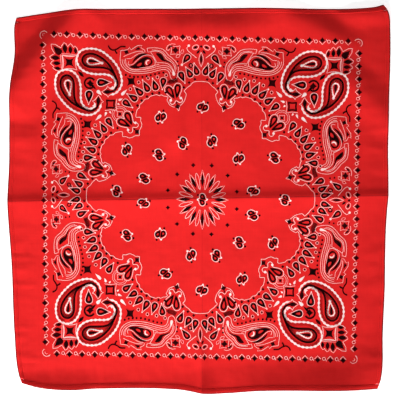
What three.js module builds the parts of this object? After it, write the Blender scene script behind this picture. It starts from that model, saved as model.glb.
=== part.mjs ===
// A square cotton bandana, laid flat, with the creases it was packed in still standing in the cloth.
// Millimetres, +X to the right edge, +Y to the top edge, +Z up from the surface that it lies on.
import * as THREE from 'three';

// ---- driving dimensions ----------------------------------------------------------------------

const CLOTH_WALL = 1.2;      // the panel's wall, measured straight up, so it is 1 mm on the slopes
const HEM_WALL = 2.2;        // a hem is three layers of the cloth, pressed flat
const HEM_WIDTH = 6.5;       // the narrow rolled hem, from its fold to its line of stitches
const SEAM_GAP = 0.3;        // the gap kept between two pieces at a seam
const HALF_SIZE = 272;       // half of the cloth's usual width, which turns lengths into shares of it

// Steps of the mesh from the middle creases out to the edges. They start narrow and grow.
const STEPS_ACROSS = 16;
const STEPS_UP = 17;
const STEP_GROWTH = 1.4;

// Where the two packing creases meet the edges, as shares of the cloth's width and height.
const UPRIGHT_CREASE = 0.507;
const LEVEL_CREASE = { left: 0.4976, right: 0.5027 };

// The outline as it lies. `along` runs along the side, and `out` is the edge's distance from the
// middle line there. The first and last rows of the four tables meet at the corners.
const LEFT_EDGE = [
  { along: -265, out: 254 },
  { along: -252, out: 259 },
  { along: -194, out: 265 },
  { along: -97, out: 269 },
  { along: -3, out: 275 },
  { along: 48, out: 273 },
  { along: 158, out: 271 },
  { along: 209, out: 265 },
  { along: 250, out: 265 },
  { along: 261, out: 262 },
];
const RIGHT_EDGE = [
  { along: -273, out: 257 },
  { along: -258, out: 262 },
  { along: -194, out: 265 },
  { along: -130, out: 268 },
  { along: -66, out: 269 },
  { along: -20, out: 271 },
  { along: 5, out: 273 },
  { along: 79, out: 273 },
  { along: 140, out: 274 },
  { along: 191, out: 276 },
  { along: 245, out: 276 },
  { along: 261, out: 275 },
  { along: 271, out: 272 },
  { along: 280, out: 266 },
];
const BOTTOM_EDGE = [
  { along: -254, out: 265 },
  { along: -232, out: 271 },
  { along: -188, out: 275 },
  { along: -147, out: 273 },
  { along: -30, out: 274 },
  { along: 14, out: 280 },
  { along: 44, out: 279 },
  { along: 84, out: 276 },
  { along: 218, out: 275 },
  { along: 257, out: 273 },
];
const TOP_EDGE = [
  { along: -262, out: 261 },
  { along: -237, out: 265 },
  { along: -194, out: 271 },
  { along: -158, out: 273 },
  { along: 0, out: 274 },
  { along: 62, out: 275 },
  { along: 139, out: 274 },
  { along: 240, out: 275 },
  { along: 256, out: 277 },
  { along: 266, out: 280 },
];

// The folds that lift the cloth. Each runs from (x1, y1) to (x2, y2) and stands `rise` high. It
// falls away over `left` and `right`, seen along its run, and fades over `fade` at both its ends.
// A sharp fold is a pressed crease and a soft one is a swell.
const FOLDS = [
  { name: 'level crease', x1: -300, y1: -3.6, x2: 300, y2: 5.4, rise: 7.0,
    left: 50, right: 92, fade: 20, sharp: true },
  { name: 'upright crease, foot', x1: 5, y1: -330, x2: 4, y2: -176, rise: 6.6,
    left: 26, right: 30, fade: 60, sharp: true },
  { name: 'upright crease, lower half', x1: 5, y1: -230, x2: 3, y2: 0, rise: 1.8,
    left: 36, right: 36, fade: 40, sharp: true },
  { name: 'upright crease, upper half', x1: 3, y1: 0, x2: 6, y2: 320, rise: 2.2,
    left: 40, right: 34, fade: 50, sharp: true },
  { name: 'second fold beside it', x1: -29, y1: 58, x2: -27, y2: 190, rise: 2.0,
    left: 34, right: 14, fade: 34, sharp: false },
  { name: 'top left corner', x1: -300, y1: 152, x2: -150, y2: 300, rise: 7.0,
    left: 34, right: 46, fade: 30, sharp: false },
  { name: 'top right, long swell', x1: 30, y1: 300, x2: 300, y2: 112, rise: 5.4,
    left: 46, right: 60, fade: 50, sharp: false },
  { name: 'top right, corner ridge', x1: 168, y1: 282, x2: 290, y2: 236, rise: 5.2,
    left: 22, right: 24, fade: 26, sharp: false },
  { name: 'left side swell', x1: -290, y1: 96, x2: -214, y2: 88, rise: 2.6,
    left: 24, right: 30, fade: 36, sharp: false },
  { name: 'lower left swell', x1: -290, y1: -92, x2: -226, y2: -104, rise: 2.4,
    left: 22, right: 26, fade: 34, sharp: false },
  { name: 'bottom left lift', x1: -270, y1: -292, x2: -150, y2: -288, rise: 4.4,
    left: 34, right: 34, fade: 30, sharp: false },
  { name: 'bottom right lift', x1: 40, y1: -292, x2: 300, y2: -268, rise: 6.0,
    left: 46, right: 46, fade: 60, sharp: false },
];

// The section of a hem: `across` runs from its stitched side to its fold, and `up` from its
// underside to its top.
const HEM_SECTION = [
  { across: 0, up: 0 },
  { across: 0.78, up: 0 },
  { across: 0.94, up: 0.2 },
  { across: 1, up: 0.5 },
  { across: 0.94, up: 0.8 },
  { across: 0.78, up: 1 },
  { across: 0, up: 1 },
];

// ---- the form of the cloth -------------------------------------------------------------------

// A smooth step: 0 at and below 0, 1 at and above 1.
function ease(share) {
  const t = THREE.MathUtils.clamp(share, 0, 1);
  return t * t * (3 - 2 * t);
}

// A smooth curve through an edge table: the edge's distance out at a place along the side.
function edgeOut(table, along) {
  const last = table.length - 1;
  const slopeOf = (i) => (table[i + 1].out - table[i].out) / (table[i + 1].along - table[i].along);
  let i = 0;
  while (i < last - 1 && along > table[i + 1].along) {
    i += 1;
  }
  const span = table[i + 1].along - table[i].along;
  const here = slopeOf(i);
  const startSlope = i > 0 ? (here + slopeOf(i - 1)) / 2 : here;
  const endSlope = i < last - 1 ? (here + slopeOf(i + 1)) / 2 : here;
  const t = (along - table[i].along) / span;
  const blend = ease(t);
  const startLift = t * (1 - t) * (1 - t) * span * startSlope;
  const endLift = t * t * (1 - t) * span * endSlope;
  return table[i].out * (1 - blend) + table[i + 1].out * blend + startLift - endLift;
}

// The place along a side at a share of its length.
function edgePlace(table, share) {
  return THREE.MathUtils.lerp(table[0].along, table.at(-1).along, share);
}

const topPoint = (u) => {
  const x = edgePlace(TOP_EDGE, u);
  return new THREE.Vector2(x, edgeOut(TOP_EDGE, x));
};
const bottomPoint = (u) => {
  const x = edgePlace(BOTTOM_EDGE, u);
  return new THREE.Vector2(x, -edgeOut(BOTTOM_EDGE, x));
};
const leftPoint = (v) => {
  const y = edgePlace(LEFT_EDGE, v);
  return new THREE.Vector2(-edgeOut(LEFT_EDGE, y), y);
};
const rightPoint = (v) => {
  const y = edgePlace(RIGHT_EDGE, v);
  return new THREE.Vector2(edgeOut(RIGHT_EDGE, y), y);
};

// A point of the level crease, which runs straight between the two side edges.
const creasePoint = (u) => leftPoint(LEVEL_CREASE.left).lerp(rightPoint(LEVEL_CREASE.right), u);

// A patch between four edges. Its lines follow the edges that they lie between.
function patchPoint(low, high, left, right, s, t) {
  const between = low(s).lerp(high(s), t);
  const beside = left.lerp(right, s);
  const lowCorners = low(0).lerp(low(1), s);
  const highCorners = high(0).lerp(high(1), s);
  return between.add(beside).sub(lowCorners.lerp(highCorners, t));
}

// The cloth's plan: u runs from the left edge to the right, v from the bottom edge to the top. It
// is two patches that meet at the level crease, where v is a half, so points lie along the crease.
function planPoint(u, v) {
  const s = u + (UPRIGHT_CREASE - 0.5) * (1 - Math.abs(2 * u - 1));
  if (v < 0.5) {
    const t = 2 * v;
    const left = leftPoint(LEVEL_CREASE.left * t);
    const right = rightPoint(LEVEL_CREASE.right * t);
    return patchPoint(bottomPoint, creasePoint, left, right, s, t);
  }
  const t = 2 * v - 1;
  const left = leftPoint(THREE.MathUtils.lerp(LEVEL_CREASE.left, 1, t));
  const right = rightPoint(THREE.MathUtils.lerp(LEVEL_CREASE.right, 1, t));
  return patchPoint(creasePoint, topPoint, left, right, s, t);
}

// How far one fold lifts the cloth at a point.
function foldLift(fold, x, y) {
  const runX = fold.x2 - fold.x1;
  const runY = fold.y2 - fold.y1;
  const length = Math.hypot(runX, runY);
  const along = ((x - fold.x1) * runX + (y - fold.y1) * runY) / length;
  const beside = ((x - fold.x1) * runY - (y - fold.y1) * runX) / length;
  const reach = beside > 0 ? fold.right : fold.left;
  const near = Math.max(1 - Math.abs(beside) / reach, 0);
  const form = fold.sharp ? near ** 3 : ease(near);
  return fold.rise * form * ease(along / fold.fade) * ease((length - along) / fold.fade);
}

// How far all the folds lift the cloth off the surface at a point.
function clothLift(x, y) {
  return FOLDS.reduce((lift, fold) => lift + foldLift(fold, x, y), 0);
}

// A point of the cloth at a place in its plan, raised by `up` from its underside.
function clothPoint(u, v, up) {
  const plan = planPoint(u, v);
  return [plan.x, plan.y, clothLift(plan.x, plan.y) + up];
}

// Shares from `start` to `end` through the middle, close together at the middle crease.
function stations(start, end, steps) {
  const shares = [];
  for (let i = -steps; i <= steps; i += 1) {
    const away = (Math.abs(i) / steps) ** STEP_GROWTH;
    const limit = i < 0 ? start : end;
    shares.push(THREE.MathUtils.lerp(0.5, limit, away));
  }
  return shares;
}

// ---- the pieces ------------------------------------------------------------------------------

const HEM_SHARE = HEM_WIDTH / (2 * HALF_SIZE);
const SEAM_SHARE = (HEM_WIDTH + SEAM_GAP) / (2 * HALF_SIZE);

const redCotton = (name) => new THREE.MeshStandardMaterial({
  name,
  color: 0xe0262c,
  roughness: 0.88,
  metalness: 0,
});

function solid(name, positions, indices) {
  const geometry = new THREE.BufferGeometry();
  geometry.setAttribute('position', new THREE.Float32BufferAttribute(positions, 3));
  geometry.setIndex(indices);
  geometry.computeVertexNormals();
  const mesh = new THREE.Mesh(geometry, redCotton(`${name} cotton`));
  mesh.name = name;
  return mesh;
}

// The panel: an upper and a lower sheet of the same points, closed all round by a rim.
function panel() {
  const across = stations(SEAM_SHARE, 1 - SEAM_SHARE, STEPS_ACROSS);
  const up = stations(SEAM_SHARE, 1 - SEAM_SHARE, STEPS_UP);
  const columns = across.length;
  const rows = up.length;
  const sheet = columns * rows;
  const positions = [];
  const indices = [];
  for (const height of [0, CLOTH_WALL]) {
    for (const v of up) {
      for (const u of across) {
        positions.push(...clothPoint(u, v, height));
      }
    }
  }
  for (let row = 0; row < rows - 1; row += 1) {
    for (let column = 0; column < columns - 1; column += 1) {
      const a = row * columns + column;
      const b = a + 1;
      const c = a + columns + 1;
      const d = a + columns;
      indices.push(a, c, b, a, d, c);
      indices.push(a + sheet, b + sheet, c + sheet, a + sheet, c + sheet, d + sheet);
    }
  }
  const rim = [];
  for (let column = 0; column < columns - 1; column += 1) {
    rim.push([column, column + 1]);
    rim.push([sheet - 1 - column, sheet - 2 - column]);
  }
  for (let row = 0; row < rows - 1; row += 1) {
    const rightEnd = row * columns + columns - 1;
    const leftEnd = sheet - columns * (row + 1);
    rim.push([rightEnd, rightEnd + columns]);
    rim.push([leftEnd, leftEnd - columns]);
  }
  for (const [from, to] of rim) {
    indices.push(from, to, to + sheet, from, to + sheet, from + sheet);
  }
  return solid('panel', positions, indices);
}

// A hem: its section is set at each station along one edge of the cloth and joined to the next.
// `place` turns a share along the edge and a share in from it into a place in the plan.
function hem(name, shares, place) {
  const positions = [];
  const indices = [];
  const sides = HEM_SECTION.length;
  for (const share of shares) {
    for (const { across, up } of HEM_SECTION) {
      const { u, v } = place(share, HEM_SHARE * (1 - across));
      positions.push(...clothPoint(u, v, HEM_WALL * up));
    }
  }
  for (let step = 0; step < shares.length - 1; step += 1) {
    for (let side = 0; side < sides; side += 1) {
      const a = step * sides + side;
      const b = step * sides + ((side + 1) % sides);
      indices.push(a, b, b + sides, a, b + sides, a + sides);
    }
  }
  const end = (shares.length - 1) * sides;
  for (let side = 1; side < sides - 1; side += 1) {
    indices.push(0, side + 1, side);
    indices.push(end, end + side, end + side + 1);
  }
  return solid(name, positions, indices);
}

// The top and bottom hems run the whole width, and the side hems stop at them with a seam gap.
function hems() {
  const whole = [0, ...stations(SEAM_SHARE, 1 - SEAM_SHARE, STEPS_ACROSS), 1];
  const between = stations(SEAM_SHARE, 1 - SEAM_SHARE, STEPS_UP);
  return [
    hem('hem_bottom', [...whole].reverse(), (share, inward) => ({ u: share, v: inward })),
    hem('hem_top', whole, (share, inward) => ({ u: share, v: 1 - inward })),
    hem('hem_left', between, (share, inward) => ({ u: inward, v: share })),
    hem('hem_right', [...between].reverse(), (share, inward) => ({ u: 1 - inward, v: share })),
  ];
}

const bandana = new THREE.Group();
bandana.add(panel(), ...hems());

// The frame's origin is under the middle of the whole cloth, on the surface that it lies on.
const extent = new THREE.Box3().setFromObject(bandana);
const middle = extent.getCenter(new THREE.Vector3());
bandana.position.set(-middle.x, -middle.y, 0);

export default bandana;
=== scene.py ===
# %% [markdown]
# # A red cotton bandana, laid flat
# A bandana is a square of thin plain-woven cotton, piece dyed, printed with one white and one
# black ink, and hemmed with a narrow roll on all four sides. The CAD frame gives its size and
# its largest folds. Here the cloth becomes a thin shell on that form, the hems get their roll
# and stitches, and the print is laid on the cloth as two thin films of ink.

# %% Load the frame
import math

import bmesh
import bpy
import numpy as np
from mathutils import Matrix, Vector
from mathutils.geometry import tessellate_polygon


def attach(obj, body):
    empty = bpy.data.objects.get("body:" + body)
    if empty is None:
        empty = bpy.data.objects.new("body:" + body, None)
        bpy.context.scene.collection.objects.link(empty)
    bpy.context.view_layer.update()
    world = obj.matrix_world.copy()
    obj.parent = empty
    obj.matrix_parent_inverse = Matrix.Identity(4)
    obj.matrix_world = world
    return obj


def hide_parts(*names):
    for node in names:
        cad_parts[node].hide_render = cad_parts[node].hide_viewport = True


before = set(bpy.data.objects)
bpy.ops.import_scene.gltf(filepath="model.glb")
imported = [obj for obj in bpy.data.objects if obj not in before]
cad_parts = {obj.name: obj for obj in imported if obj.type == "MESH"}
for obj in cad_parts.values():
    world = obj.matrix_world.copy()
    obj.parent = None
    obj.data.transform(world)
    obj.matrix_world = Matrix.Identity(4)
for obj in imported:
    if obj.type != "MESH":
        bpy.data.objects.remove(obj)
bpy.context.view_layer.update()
MM = 0.001

# %% [markdown]
# ## The outline of the cloth
# A pressed bandana is square, but one that has been unpacked and laid down by hand is not: its
# sides bow, one corner points out and another is blunt. Each side is a short table of how far
# the edge stands out from the middle lines, and a smooth curve runs through its rows. A spline
# drawn by hand would do as well, but a table can be checked against a ruler.

# %% The four sides
# Columns, in mm: the place along the side, and the distance out from the middle line there.
LEFT_EDGE = np.array([
    (-265, 254), (-252, 259), (-194, 265), (-97, 269), (-3, 275), (48, 273), (158, 271), (209, 265),
    (250, 265), (261, 262),
], float)
RIGHT_EDGE = np.array([
    (-273, 257), (-258, 262), (-194, 265), (-130, 268), (-66, 269), (-20, 271), (5, 273), (79, 273),
    (140, 274), (191, 276), (245, 276), (261, 275), (271, 272), (280, 266),
], float)
BOTTOM_EDGE = np.array([
    (-254, 265), (-232, 271), (-188, 275), (-147, 273), (-30, 274), (14, 280), (44, 279), (84, 276),
    (218, 275), (257, 273),
], float)
TOP_EDGE = np.array([
    (-262, 261), (-237, 265), (-194, 271), (-158, 273), (0, 274), (62, 275), (139, 274), (240, 275),
    (256, 277), (266, 280),
], float)


def edge_out(table, along):
    """How far an edge stands out at places along its side: a smooth curve through the table."""
    places, outs = table.T
    slopes = np.diff(outs) / np.diff(places)
    tangents = np.concatenate([slopes[:1], (slopes[1:] + slopes[:-1]) / 2, slopes[-1:]])
    i = np.clip(np.searchsorted(places, along, side="right") - 1, 0, len(slopes) - 1)
    span = np.diff(places)[i]
    t = (along - places[i]) / span
    blend = t * t * (3 - 2 * t)
    bend = t * (1 - t) * span * ((1 - t) * tangents[i] - t * tangents[i + 1])
    return outs[i] * (1 - blend) + outs[i + 1] * blend + bend


def edge_points(table, share, outward, upright):
    """Points of one side at shares of its length, as x and y in mm."""
    along = table[0, 0] + (table[-1, 0] - table[0, 0]) * np.asarray(share, float)
    out = outward * edge_out(table, along)
    return np.stack([out, along] if upright else [along, out], axis=-1)


print("corners in mm:", edge_points(TOP_EDGE, [0, 1], 1, False).round(1).tolist(),
      edge_points(BOTTOM_EDGE, [0, 1], -1, False).round(1).tolist())

# %% [markdown]
# ## Where a point of the cloth lies
# Cloth that was folded in four keeps a level and an upright crease. The plan below is two
# patches that meet at the level crease, so a row of the mesh runs exactly along it. u goes from
# the left edge to the right and v from the bottom edge to the top, both from 0 to 1.

# %% The plan
UPRIGHT_CREASE = 0.507
LEVEL_CREASE_LEFT = 0.4976
LEVEL_CREASE_RIGHT = 0.5027


def mix(a, b, share):
    """The point at a share of the way from a to b."""
    share = np.asarray(share, float)[..., None]
    return a * (1 - share) + b * share


def crease_points(share):
    """Points of the level crease, which runs straight from edge to edge."""
    start = edge_points(LEFT_EDGE, LEVEL_CREASE_LEFT, -1, True)
    end = edge_points(RIGHT_EDGE, LEVEL_CREASE_RIGHT, 1, True)
    return mix(start, end, share)


def plan(u, v):
    """The x and y in mm of places in the cloth, blended from the edges of the patch they are in."""
    u, v = np.broadcast_arrays(np.asarray(u, float), np.asarray(v, float))
    s = u + (UPRIGHT_CREASE - 0.5) * (1 - np.abs(2 * u - 1))
    lower = v < 0.5
    t = np.where(lower, 2 * v, 2 * v - 1)
    sides = []
    for table, crease, outward in (
        (LEFT_EDGE, LEVEL_CREASE_LEFT, -1), (RIGHT_EDGE, LEVEL_CREASE_RIGHT, 1)
    ):
        share = np.where(lower, crease * t, crease + (1 - crease) * t)
        sides.append(edge_points(table, share, outward, True))

    def low(share):
        bottom = edge_points(BOTTOM_EDGE, share, -1, False)
        return np.where(lower[..., None], bottom, crease_points(share))

    def high(share):
        top = edge_points(TOP_EDGE, share, 1, False)
        return np.where(lower[..., None], crease_points(share), top)

    ends = mix(mix(low(0 * s), low(0 * s + 1), s), mix(high(0 * s), high(0 * s + 1), s), t)
    return mix(low(s), high(s), t) + mix(sides[0], sides[1], s) - ends


rim_shares = np.linspace(0, 1, 401)
rim = np.concatenate([plan(rim_shares, 0), plan(rim_shares, 1), plan(0, rim_shares), plan(1, rim_shares)])
SHIFT = -(rim.min(axis=0) + rim.max(axis=0)) / 2
print("outline in mm:", np.ptp(rim, axis=0).round(1), "moved by", SHIFT.round(2), "to the frame's middle")

# %% [markdown]
# ## How high the cloth stands
# Cotton keeps the mark of the packet: pressed creases stand up as sharp low ridges, and slack
# cloth between them lifts in soft swells. Each fold is one row: a line, a height, and how wide
# its two flanks are. A cloth simulation could wrinkle the sheet too, but it would put the folds
# where it liked, and these have to be where this cloth has them.

# %% The folds
# Columns, in mm: the line's two ends, the rise, the flank left and right of the line, the fade
# at its ends, and whether it is a sharp crease (1) or a soft swell (0).
FOLDS = [
    (-300, -3.6, 300, 5.4, 2.1, 15, 74, 20, 1),
    (-300, -3.6, 300, 5.4, 1.7, 54, 74, 20, 1),
    (5, -330, 4, -176, 6.0, 24, 26, 60, 1),
    (5, -230, 3, 0, 1.8, 36, 36, 40, 1),
    (3, 0, 6, 320, 2.2, 40, 34, 50, 1),
    (-29, 58, -27, 190, 2.6, 34, 12, 34, 0),
    (-293, 124, -150, 298, 9.4, 32, 56, 30, 0),
    (60, 300, 240, 210, 5.4, 30, 50, 46, 0),
    (180, 200, 304, 92, 4.6, 38, 40, 36, 0),
    (190, 265, 300, 275, 4.0, 8, 30, 30, 0),
    (-70, 248, 120, 246, 4.2, 30, 40, 40, 0),
    (-290, 92, -214, 84, 2.2, 24, 30, 36, 0),
    (-290, -92, -226, -104, 1.0, 22, 26, 34, 0),
    (-290, -296, -140, -292, 6.4, 50, 50, 30, 0),
    (-170, -300, 40, -298, 4.6, 56, 56, 40, 0),
    (-60, -300, 310, -278, 9.0, 62, 62, 190, 0),
    (160, -318, 316, -212, 5.0, 64, 40, 40, 0),
]
CREST_ROUNDING = 2.5


def ease(share):
    """A smooth step from 0 to 1."""
    t = np.clip(share, 0, 1)
    return t * t * (3 - 2 * t)


def fold_lift(fold, points):
    """How far one fold lifts the cloth at plan points, in mm."""
    x1, y1, x2, y2, rise, left, right, fade, sharp = fold
    length = math.hypot(x2 - x1, y2 - y1)
    run = np.array([x2 - x1, y2 - y1]) / length
    away = points - (x1, y1)
    along = away @ run
    beside = away @ (run[1], -run[0])
    if sharp:
        near = 1 - (np.hypot(beside, CREST_ROUNDING) - CREST_ROUNDING) / np.where(beside > 0, right, left)
        form = np.clip(near, 0, 1) ** 3
    else:
        form = ease(1 - np.abs(beside) / np.where(beside > 0, right, left))
    return rise * form * ease(along / fade) * ease((length - along) / fade)


# %% [markdown]
# ## Puckers along the seams
# A lockstitched hem draws the cloth in a little, so short soft ripples run inwards from it, each
# a bit different. They come from one seeded draw, so the cloth is the same at every run.

# %% The puckers
draw = np.random.default_rng(22)
PUCKER_PITCH = 15.0
PUCKER_LENGTH = (22.0, 60.0)
PUCKER_RISE = (0.15, 0.6)
PUCKER_FLANK = (7.0, 13.0)
SIDE_LENGTH = 520.0


def side_puckers(side):
    """Rows for FOLDS: ripples that start at one side of the cloth and run inwards."""
    rows = []
    place = -SIDE_LENGTH / 2
    while place < SIDE_LENGTH / 2:
        reach = draw.uniform(*PUCKER_LENGTH)
        lean = draw.uniform(-0.3, 0.3)
        start, end = (place, 290.0), (place + lean * reach, 268.0 - reach)
        turned = {
            "top": (start[0], start[1], end[0], end[1]),
            "bottom": (-start[0], -start[1], -end[0], -end[1]),
            "left": (-start[1], start[0], -end[1], end[0]),
            "right": (start[1], -start[0], end[1], -end[0]),
        }[side]
        flank = draw.uniform(*PUCKER_FLANK)
        rows.append((*turned, draw.uniform(*PUCKER_RISE), flank, flank, reach * 0.7, 0))
        place += PUCKER_PITCH * draw.uniform(0.6, 1.5)
    return rows


PUCKERS = [row for side in ("top", "bottom", "left", "right") for row in side_puckers(side)]
print(len(FOLDS), "folds and", len(PUCKERS), "puckers")


def lift(points):
    """How far the cloth's underside stands off the surface at plan points, in mm."""
    return sum(fold_lift(fold, points) for fold in FOLDS + PUCKERS)


def in_frame(points, up):
    """Plan points, raised by up mm from the cloth's underside, as metres in the frame."""
    z = lift(points) + up
    return np.column_stack([points + SHIFT, z]) * MM


# %% [markdown]
# ## Colours and nodes
# Colours are picked as sRGB hex values, the way a dye card or a screen shows them, and one
# function turns them to the linear values that a shader needs. A second small function adds one
# node, sets it and links it, so each material below reads as a list of its layers.

# %% Colour and node helpers
def linear(colour):
    """A hex colour as linear red, green, blue and alpha."""
    channels = [int(colour[i:i + 2], 16) / 255 for i in (1, 3, 5)]
    return [c / 12.92 if c <= 0.04045 else ((c + 0.055) / 1.055) ** 2.4 for c in channels] + [1.0]


def add(tree, kind, inputs, **settings):
    """Adds a node. Each input is a value to set, or another node's output to link."""
    node = tree.nodes.new(kind)
    for name, value in settings.items():
        setattr(node, name, value)
    for name, value in inputs.items():
        if isinstance(value, bpy.types.NodeSocket):
            tree.links.new(value, node.inputs[name])
        else:
            node.inputs[name].default_value = value
    return node


def new_material(name):
    """An empty node material and its output node."""
    material = bpy.data.materials.new(name)
    material.use_nodes = True
    material.node_tree.nodes.clear()
    return material.node_tree, add(material.node_tree, "ShaderNodeOutputMaterial", {}), material


# %% [markdown]
# ## Dyed plain-woven cotton
# The cloth is a light cotton sheeting, one thread over and one under, about 30 threads to the
# centimetre, dyed red in the piece. To the eye it is matt, with a faint bloom at a low angle
# from loose fibre ends, slubs where the spun thread runs thick, soft dents from handling, and a
# slightly deeper red where dye gathered. The real weave is 0.33 mm from thread to thread. It is
# drawn at 0.9 mm here, because the real one is far too fine to show.

# %% The cotton material
WEAVE_PITCH = 0.9
SLUB_PITCH = 2.4
SLUB_LENGTH = 30.0
MOTTLE_SIZE = 55.0
HANDLING_SIZE = 34.0
HANDLING_DEPTH = 1.6
# Painted shade along the level and the upright crease, a line of shade too fine for the mesh: how far it
# reaches to each side in mm, and for each crease its ends and the least share of the dye value on it.
CREASE_SHADE_WIDTH = 1.3
CREASE_SHADE_LINES = [(crease_points([0, 1]) + SHIFT, 0.2), ([(5.0, -290.0), (3.5, 290.0)], 0.55)]


def weave(tree, place):
    """The height of a plain weave: two sets of rounded threads that take turns on top."""
    split = add(tree, "ShaderNodeSeparateXYZ", {"Vector": place})
    turns = math.pi / (WEAVE_PITCH * MM)
    waves = []
    for axis in ("X", "Y"):
        phase = add(tree, "ShaderNodeMath", {0: split.outputs[axis], 1: turns}, operation="MULTIPLY")
        waves.append(add(tree, "ShaderNodeMath", {0: phase.outputs[0]}, operation="SINE").outputs[0])
    over = add(tree, "ShaderNodeMath", {0: waves[0], 1: waves[1]}, operation="MULTIPLY")
    return add(tree, "ShaderNodeMath", {0: over.outputs[0], 1: 0.5, 2: 0.5},
               operation="MULTIPLY_ADD").outputs[0]


def slubs(tree, place):
    """Thick and thin places in the threads, drawn out along the warp and along the weft."""
    layers = []
    for stretch in ((SLUB_LENGTH, SLUB_PITCH, 1.0), (SLUB_PITCH, SLUB_LENGTH, 1.0)):
        scale = [1 / (size * MM) for size in stretch]
        stretched = add(tree, "ShaderNodeMapping", {"Vector": place, "Scale": scale})
        noise = add(tree, "ShaderNodeTexNoise", {"Vector": stretched.outputs[0], "Scale": 1.0,
                                                 "Detail": 1.0})
        layers.append(noise.outputs["Fac"])
    both = add(tree, "ShaderNodeMath", {0: layers[0], 1: layers[1]}, operation="ADD")
    return add(tree, "ShaderNodeMath", {0: both.outputs[0], 1: 0.5}, operation="MULTIPLY").outputs[0]


def painted_crease_shade(tree, place, ends, least):
    """Painted crease shade: `least` on the crease line, rising to 1 at its width to each side, and 1
    elsewhere.
    """
    (x1, y1), (x2, y2) = np.array(ends) * MM
    length = math.hypot(x2 - x1, y2 - y1)
    across = ((y1 - y2) / length, (x2 - x1) / length, 0)
    start = across[0] * x1 + across[1] * y1
    beside = add(tree, "ShaderNodeVectorMath", {0: place, 1: across}, operation="DOT_PRODUCT")
    beside = add(tree, "ShaderNodeMath", {0: beside.outputs["Value"], 1: start}, operation="SUBTRACT")
    away = add(tree, "ShaderNodeMath", {0: beside.outputs[0]}, operation="ABSOLUTE")
    crease_shade = add(tree, "ShaderNodeMapRange", {
        "Value": away.outputs[0], "From Max": CREASE_SHADE_WIDTH * MM, "To Min": least, "To Max": 1.0})
    return crease_shade.outputs[0]


def woven_cotton(name, crease_shade, deep, ground, bright, sheen):
    """Dyed cotton: mottled dye, slubs, painted shade along the creases, and a weave in the bump."""
    tree, output, material = new_material(name)
    place = add(tree, "ShaderNodeTexCoord", {}).outputs["Object"]
    mottle = add(tree, "ShaderNodeTexNoise", {"Vector": place, "Scale": 1 / (MOTTLE_SIZE * MM),
                                              "Detail": 3.0})
    thread = slubs(tree, place)
    cloth = weave(tree, place)
    dye = add(tree, "ShaderNodeMath", {0: mottle.outputs["Fac"], 1: thread}, operation="ADD")
    dye = add(tree, "ShaderNodeMath", {0: dye.outputs[0], 1: 0.5}, operation="MULTIPLY")
    # Painted shade: each crease line pulls the dye value down towards the painted crease shade colour.
    for ends, least in CREASE_SHADE_LINES:
        crease_darkening = painted_crease_shade(tree, place, ends, least)
        dye = add(tree, "ShaderNodeMath", {0: dye.outputs[0], 1: crease_darkening}, operation="MULTIPLY")
    ramp = add(tree, "ShaderNodeValToRGB", {"Fac": dye.outputs[0]})
    ramp.color_ramp.elements[0].position = 0.3
    ramp.color_ramp.elements[0].color = linear(deep)
    # The stop at 0.1 is the painted crease shade; only a crease line brings the dye value that low.
    ramp.color_ramp.elements.new(0.1).color = linear(crease_shade)
    ramp.color_ramp.elements[-1].position = 0.7
    ramp.color_ramp.elements[-1].color = linear(bright)
    ramp.color_ramp.elements.new(0.5).color = linear(ground)
    fine = add(tree, "ShaderNodeBump", {"Height": cloth, "Strength": 0.10, "Distance": 0.2 * MM})
    handled = add(tree, "ShaderNodeTexNoise", {
        "Vector": place, "Scale": 1 / (HANDLING_SIZE * MM), "Detail": 2.0})
    soft = add(tree, "ShaderNodeBump", {
        "Height": handled.outputs["Fac"], "Strength": 1.0, "Distance": HANDLING_DEPTH * MM,
        "Normal": fine.outputs[0]})
    bump = add(tree, "ShaderNodeBump", {
        "Height": thread, "Strength": 0.35, "Distance": 0.25 * MM, "Normal": soft.outputs[0]})
    rough = add(tree, "ShaderNodeMapRange", {"Value": thread, "To Min": 0.80, "To Max": 0.96})
    shader = add(tree, "ShaderNodeBsdfPrincipled", {
        "Base Color": ramp.outputs[0], "Roughness": rough.outputs[0], "Normal": bump.outputs[0],
        "Specular IOR Level": 0.12, "IOR": 1.5, "Sheen Weight": sheen, "Sheen Roughness": 0.5,
        "Sheen Tint": linear("#FF8A84")})
    tree.links.new(shader.outputs[0], output.inputs["Surface"])
    return material


# The first colour is the painted shade along the creases.
red_cotton = woven_cotton("dyed woven cotton", "#6E0A0E", "#D21A1B", "#D81D1D", "#DE1F1F", 0.03)
# Painted shade: the round outer fold of each hem gets a much deeper red, which stands in for the shade on
# the hem's edge.
painted_shade_fold_cotton = woven_cotton(
    "dyed woven cotton, painted shade on outer fold", "#5A080C", "#7C0C10", "#860E12", "#900F14", 0.03)
print("made", red_cotton.name, "and", painted_shade_fold_cotton.name)

# %% [markdown]
# ## The panel
# The panel is one sheet of cloth, so it is one closed thin shell: an upper and a lower face of
# the same points, half a millimetre apart, joined by a rim. A plane with a Solidify modifier
# would give the same shell, but here every point is placed by the form above, so the ink can lie
# exactly on it.

# %% The panel's mesh
CLOTH_THICKNESS = 0.45
RESTING_GAP = 0.05
CLOTH_TOP = RESTING_GAP + CLOTH_THICKNESS
HEM_WIDTH = 6.5
PANEL_INSET = 5.8
CLOTH_SIZE = 544.0
STEPS = 216


def new_piece(name, points, faces, material, node_names):
    """Makes a mesh object that rides on the root body and stands for its CAD nodes."""
    mesh = bpy.data.meshes.new(name)
    mesh.from_pydata(points.tolist() if hasattr(points, "tolist") else points, [], faces)
    mesh.validate()
    mesh.materials.append(material)
    mesh.shade_smooth()
    piece = bpy.data.objects.new(name, mesh)
    bpy.context.scene.collection.objects.link(piece)
    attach(piece, "root")
    if node_names:
        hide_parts(*node_names)
    return piece


def grid_faces(rows, columns, start=0):
    """Quads over a grid of points that are stored row by row."""
    row, column = np.meshgrid(np.arange(rows - 1), np.arange(columns - 1), indexing="ij")
    a = (start + row * columns + column).ravel()
    return np.column_stack([a, a + 1, a + columns + 1, a + columns])


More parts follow.
